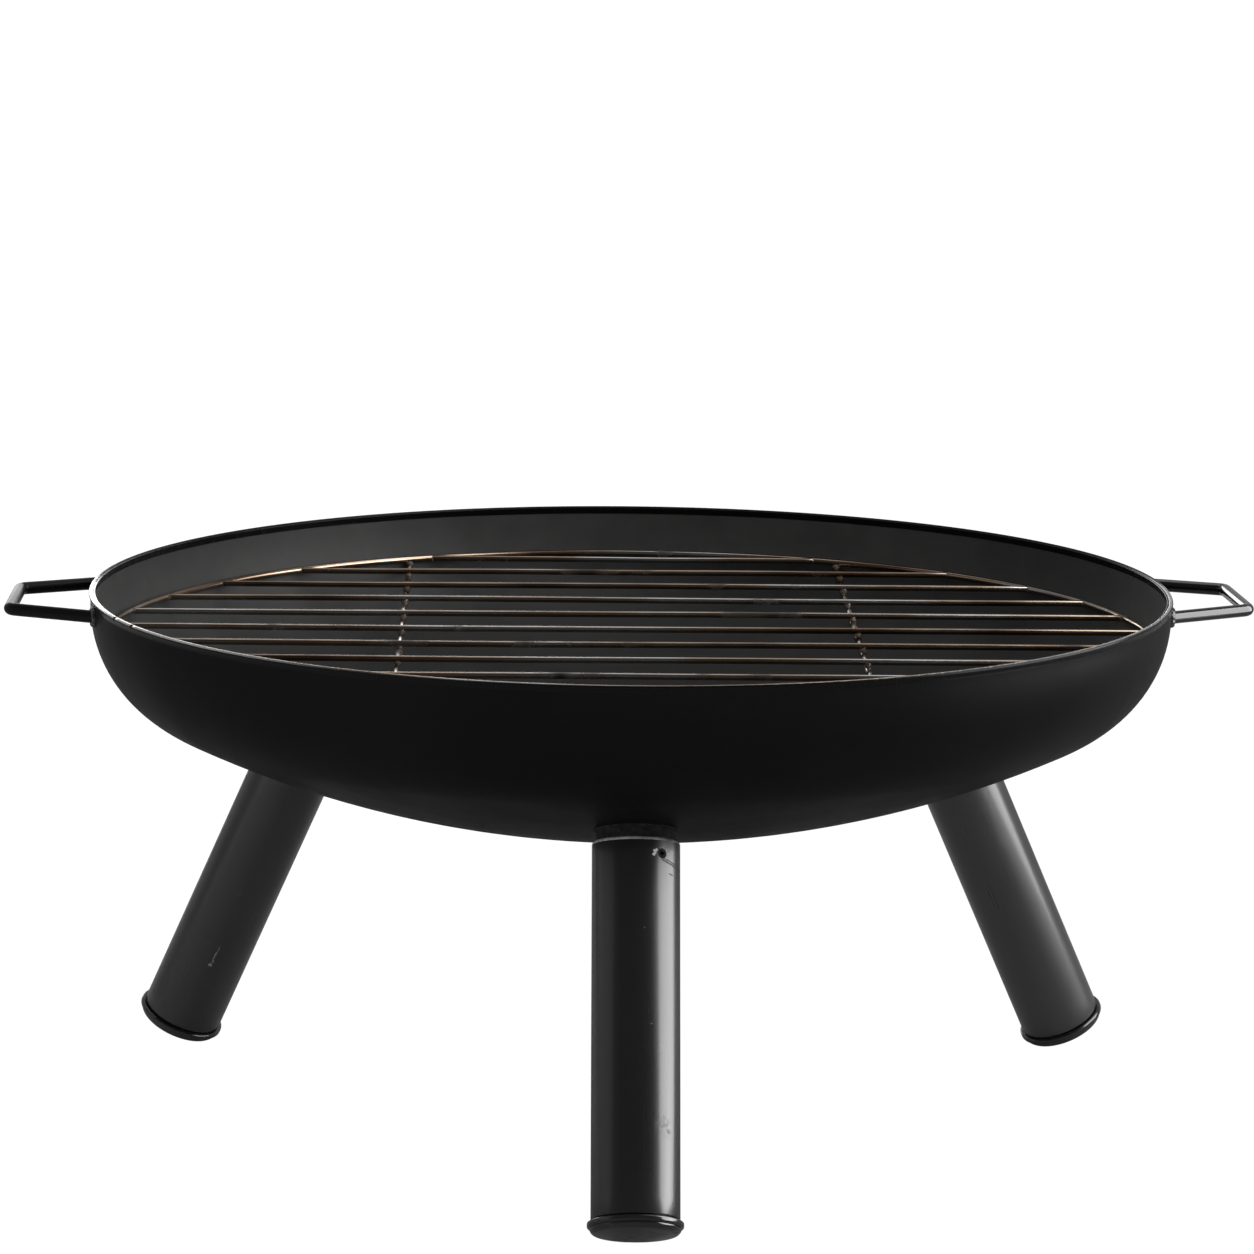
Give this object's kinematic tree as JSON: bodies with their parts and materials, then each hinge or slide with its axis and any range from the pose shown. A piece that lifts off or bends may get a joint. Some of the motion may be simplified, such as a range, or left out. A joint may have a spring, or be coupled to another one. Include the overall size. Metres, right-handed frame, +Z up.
{
  "type": "fire pit with grate",
  "caption": "Round steel fire bowl on splayed tube legs with rounded foot caps, rod side handles and a lift-out round wire cooking grate.",
  "frame": {"origin": "middle of the ground that the pit covers: centre of its bounding box, on the plane of the feet", "axes": "+Z up, handles along -X and +X, front leg towards -Y; the bowl's axis is vertical through x = -0.0006 m, y = 0.01125 m"},
  "size_m": [0.6913, 0.6224, 0.295],
  "materials": {
    "black_steel": "matt to satin black heat-proof paint",
    "black_leg_steel": "satin black powder coat",
    "black_plastic": "glossy black",
    "dark_zinc": "blackened",
    "grate_wire": "bare wire, heat tinted"
  },
  "bodies": {
    "pit": {"bowl": "black_steel", "left_handle": "black_steel", "right_handle": "black_steel", "leg_socket_front": "black_steel", "leg_front": "black_leg_steel", "leg_screw_front": "dark_zinc", "foot_cap_front": "black_plastic", "leg_socket_back_left": "black_steel", "leg_back_left": "black_leg_steel", "leg_screw_back_left": "dark_zinc", "foot_cap_back_left": "black_plastic", "leg_socket_back_right": "black_steel", "leg_back_right": "black_leg_steel", "leg_screw_back_right": "dark_zinc", "foot_cap_back_right": "black_plastic"},
    "grate": {"grate_ring": "grate_wire", "grate_bar_01": "grate_wire", "grate_bar_02": "grate_wire", "grate_bar_03": "grate_wire", "grate_bar_04": "grate_wire", "grate_bar_05": "grate_wire", "grate_bar_06": "grate_wire", "grate_bar_07": "grate_wire", "grate_bar_08": "grate_wire", "grate_bar_09": "grate_wire", "grate_bar_10": "grate_wire", "grate_bar_11": "grate_wire", "grate_bar_12": "grate_wire", "grate_cross_bar_left": "grate_wire", "grate_cross_bar_right": "grate_wire"}
  },
  "joints": [
    {"name": "grate_lift", "type": "slide", "parent": "pit", "child": "grate", "axis": [0, 0, 1], "range_m": [0, 0.15]}
  ]
}
